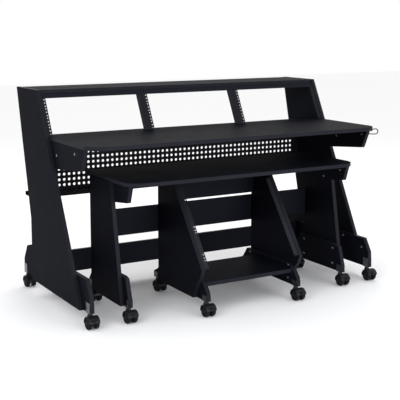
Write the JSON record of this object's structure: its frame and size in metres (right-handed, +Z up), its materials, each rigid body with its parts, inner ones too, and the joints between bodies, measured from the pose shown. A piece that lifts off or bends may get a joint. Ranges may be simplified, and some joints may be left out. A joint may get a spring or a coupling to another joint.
{
  "type": "computer desk with rolling keyboard desk and rack cart",
  "caption": "Studio computer desk with a raised rack bridge, a rolling keyboard desk under it and a rolling rack cart inside that, all on braked swivel casters.",
  "frame": {"origin": "on the floor, midway between the four foot ends of the main desk", "axes": "+Z up, +X to the sitter's right, -Y towards the sitter"},
  "size_m": [1.596, 0.9218, 0.96],
  "materials": {
    "board": "satin black laminate over board",
    "rail_steel": "satin black powder coat",
    "sheet_steel": "satin black powder coat",
    "bolt_steel": "dark satin",
    "chrome": "bright",
    "caster_plastic": "semi-gloss black",
    "wheel_nylon": "matte black",
    "brake_plastic": "matte black"
  },
  "bodies": {
    "main_desk": {"main_side_left": "board", "main_side_right": "board", "main_feet": "board", "main_arms": "board", "desktop": "board", "top_shelf": "board", "top_rail": "board", "rack_dividers": "board", "rack_rails": "rail_steel", "cable_panel": "sheet_steel", "cable_tray": "sheet_steel", "rear_panel": "board", "headphone_hook": "chrome", "main_bolts": "bolt_steel", "main_brackets": "chrome"},
    "keyboard_desk": {"keyboard_top": "board", "keyboard_side_left": "board", "keyboard_side_right": "board", "keyboard_feet": "board", "keyboard_arms": "board", "keyboard_panel": "board", "keyboard_bolts": "bolt_steel", "keyboard_brackets": "chrome"},
    "rack_cart": {"cart_sides": "board", "cart_feet": "board", "cart_panel": "board", "cart_shelf": "board", "cart_rails": "rail_steel", "cart_bolts": "bolt_steel", "cart_brackets": "chrome"},
    "main_fl_fork": {"main_fl_housing": "caster_plastic"},
    "main_fl_rollers": {"main_fl_wheels": "wheel_nylon"},
    "main_fl_lever": {"main_fl_brake": "brake_plastic"},
    "main_fr_fork": {"main_fr_housing": "caster_plastic"},
    "main_fr_rollers": {"main_fr_wheels": "wheel_nylon"},
    "main_fr_lever": {"main_fr_brake": "brake_plastic"},
    "main_rl_fork": {"main_rl_housing": "caster_plastic"},
    "main_rl_rollers": {"main_rl_wheels": "wheel_nylon"},
    "main_rr_fork": {"main_rr_housing": "caster_plastic"},
    "main_rr_rollers": {"main_rr_wheels": "wheel_nylon"},
    "keyboard_fl_fork": {"keyboard_fl_housing": "caster_plastic"},
    "keyboard_fl_rollers": {"keyboard_fl_wheels": "wheel_nylon"},
    "keyboard_fl_lever": {"keyboard_fl_brake": "brake_plastic"},
    "keyboard_fr_fork": {"keyboard_fr_housing": "caster_plastic"},
    "keyboard_fr_rollers": {"keyboard_fr_wheels": "wheel_nylon"},
    "keyboard_fr_lever": {"keyboard_fr_brake": "brake_plastic"},
    "keyboard_rl_fork": {"keyboard_rl_housing": "caster_plastic"},
    "keyboard_rl_rollers": {"keyboard_rl_wheels": "wheel_nylon"},
    "keyboard_rr_fork": {"keyboard_rr_housing": "caster_plastic"},
    "keyboard_rr_rollers": {"keyboard_rr_wheels": "wheel_nylon"},
    "cart_fl_fork": {"cart_fl_housing": "caster_plastic"},
    "cart_fl_rollers": {"cart_fl_wheels": "wheel_nylon"},
    "cart_fl_lever": {"cart_fl_brake": "brake_plastic"},
    "cart_fr_fork": {"cart_fr_housing": "caster_plastic"},
    "cart_fr_rollers": {"cart_fr_wheels": "wheel_nylon"},
    "cart_fr_lever": {"cart_fr_brake": "brake_plastic"},
    "cart_rl_fork": {"cart_rl_housing": "caster_plastic"},
    "cart_rl_rollers": {"cart_rl_wheels": "wheel_nylon"},
    "cart_rr_fork": {"cart_rr_housing": "caster_plastic"},
    "cart_rr_rollers": {"cart_rr_wheels": "wheel_nylon"}
  },
  "joints": [
    {"name": "keyboard_desk_roll", "type": "slide", "parent": "main_desk", "child": "keyboard_desk", "axis": [0, -1, 0], "range_m": [-0.12, 0.45]},
    {"name": "rack_cart_roll", "type": "slide", "parent": "keyboard_desk", "child": "rack_cart", "axis": [0, -1, 0], "range_m": [0, 0.5]},
    {"name": "main_fl_swivel", "type": "hinge", "parent": "main_desk", "child": "main_fl_fork", "pos_m": [-0.7415, -0.369, 0.066], "axis": [0, 0, 1], "continuous": true},
    {"name": "main_fl_roll", "type": "hinge", "parent": "main_fl_fork", "child": "main_fl_rollers", "pos_m": [-0.7415, -0.389, 0.0265], "axis": [1, 0, 0], "continuous": true},
    {"name": "main_fl_brake_press", "type": "hinge", "parent": "main_fl_fork", "child": "main_fl_lever", "pos_m": [-0.7415, -0.41875, 0.04232], "axis": [1, 0, 0], "range_deg": [0, 20]},
    {"name": "main_fr_swivel", "type": "hinge", "parent": "main_desk", "child": "main_fr_fork", "pos_m": [0.7415, -0.369, 0.066], "axis": [0, 0, 1], "continuous": true},
    {"name": "main_fr_roll", "type": "hinge", "parent": "main_fr_fork", "child": "main_fr_rollers", "pos_m": [0.7415, -0.389, 0.0265], "axis": [1, 0, 0], "continuous": true},
    {"name": "main_fr_brake_press", "type": "hinge", "parent": "main_fr_fork", "child": "main_fr_lever", "pos_m": [0.7415, -0.41875, 0.04232], "axis": [1, 0, 0], "range_deg": [0, 20]},
    {"name": "main_rl_swivel", "type": "hinge", "parent": "main_desk", "child": "main_rl_fork", "pos_m": [-0.7415, 0.369, 0.066], "axis": [0, 0, 1], "continuous": true},
    {"name": "main_rl_roll", "type": "hinge", "parent": "main_rl_fork", "child": "main_rl_rollers", "pos_m": [-0.7415, 0.349, 0.0265], "axis": [1, 0, 0], "continuous": true},
    {"name": "main_rr_swivel", "type": "hinge", "parent": "main_desk", "child": "main_rr_fork", "pos_m": [0.7415, 0.369, 0.066], "axis": [0, 0, 1], "continuous": true},
    {"name": "main_rr_roll", "type": "hinge", "parent": "main_rr_fork", "child": "main_rr_rollers", "pos_m": [0.7415, 0.349, 0.0265], "axis": [1, 0, 0], "continuous": true},
    {"name": "keyboard_fl_swivel", "type": "hinge", "parent": "keyboard_desk", "child": "keyboard_fl_fork", "pos_m": [-0.5685, -0.377, 0.066], "axis": [0, 0, 1], "continuous": true},
    {"name": "keyboard_fl_roll", "type": "hinge", "parent": "keyboard_fl_fork", "child": "keyboard_fl_rollers", "pos_m": [-0.5685, -0.397, 0.0265], "axis": [1, 0, 0], "continuous": true},
    {"name": "keyboard_fl_brake_press", "type": "hinge", "parent": "keyboard_fl_fork", "child": "keyboard_fl_lever", "pos_m": [-0.5685, -0.42675, 0.04232], "axis": [1, 0, 0], "range_deg": [0, 20]},
    {"name": "keyboard_fr_swivel", "type": "hinge", "parent": "keyboard_desk", "child": "keyboard_fr_fork", "pos_m": [0.5685, -0.377, 0.066], "axis": [0, 0, 1], "continuous": true},
    {"name": "keyboard_fr_roll", "type": "hinge", "parent": "keyboard_fr_fork", "child": "keyboard_fr_rollers", "pos_m": [0.5685, -0.397, 0.0265], "axis": [1, 0, 0], "continuous": true},
    {"name": "keyboard_fr_brake_press", "type": "hinge", "parent": "keyboard_fr_fork", "child": "keyboard_fr_lever", "pos_m": [0.5685, -0.42675, 0.04232], "axis": [1, 0, 0], "range_deg": [0, 20]},
    {"name": "keyboard_rl_swivel", "type": "hinge", "parent": "keyboard_desk", "child": "keyboard_rl_fork", "pos_m": [-0.5685, -0.011, 0.066], "axis": [0, 0, 1], "continuous": true},
    {"name": "keyboard_rl_roll", "type": "hinge", "parent": "keyboard_rl_fork", "child": "keyboard_rl_rollers", "pos_m": [-0.5685, -0.031, 0.0265], "axis": [1, 0, 0], "continuous": true},
    {"name": "keyboard_rr_swivel", "type": "hinge", "parent": "keyboard_desk", "child": "keyboard_rr_fork", "pos_m": [0.5685, -0.011, 0.066], "axis": [0, 0, 1], "continuous": true},
    {"name": "keyboard_rr_roll", "type": "hinge", "parent": "keyboard_rr_fork", "child": "keyboard_rr_rollers", "pos_m": [0.5685, -0.031, 0.0265], "axis": [1, 0, 0], "continuous": true},
    {"name": "cart_fl_swivel", "type": "hinge", "parent": "rack_cart", "child": "cart_fl_fork", "pos_m": [-0.2385, -0.467, 0.066], "axis": [0, 0, 1], "continuous": true},
    {"name": "cart_fl_roll", "type": "hinge", "parent": "cart_fl_fork", "child": "cart_fl_rollers", "pos_m": [-0.2385, -0.487, 0.0265], "axis": [1, 0, 0], "continuous": true},
    {"name": "cart_fl_brake_press", "type": "hinge", "parent": "cart_fl_fork", "child": "cart_fl_lever", "pos_m": [-0.2385, -0.51675, 0.04232], "axis": [1, 0, 0], "range_deg": [0, 20]},
    {"name": "cart_fr_swivel", "type": "hinge", "parent": "rack_cart", "child": "cart_fr_fork", "pos_m": [0.2385, -0.467, 0.066], "axis": [0, 0, 1], "continuous": true},
    {"name": "cart_fr_roll", "type": "hinge", "parent": "cart_fr_fork", "child": "cart_fr_rollers", "pos_m": [0.2385, -0.487, 0.0265], "axis": [1, 0, 0], "continuous": true},
    {"name": "cart_fr_brake_press", "type": "hinge", "parent": "cart_fr_fork", "child": "cart_fr_lever", "pos_m": [0.2385, -0.51675, 0.04232], "axis": [1, 0, 0], "range_deg": [0, 20]},
    {"name": "cart_rl_swivel", "type": "hinge", "parent": "rack_cart", "child": "cart_rl_fork", "pos_m": [-0.2385, -0.018, 0.066], "axis": [0, 0, 1], "continuous": true},
    {"name": "cart_rl_roll", "type": "hinge", "parent": "cart_rl_fork", "child": "cart_rl_rollers", "pos_m": [-0.2385, -0.038, 0.0265], "axis": [1, 0, 0], "continuous": true},
    {"name": "cart_rr_swivel", "type": "hinge", "parent": "rack_cart", "child": "cart_rr_fork", "pos_m": [0.2385, -0.018, 0.066], "axis": [0, 0, 1], "continuous": true},
    {"name": "cart_rr_roll", "type": "hinge", "parent": "cart_rr_fork", "child": "cart_rr_rollers", "pos_m": [0.2385, -0.038, 0.0265], "axis": [1, 0, 0], "continuous": true}
  ]
}
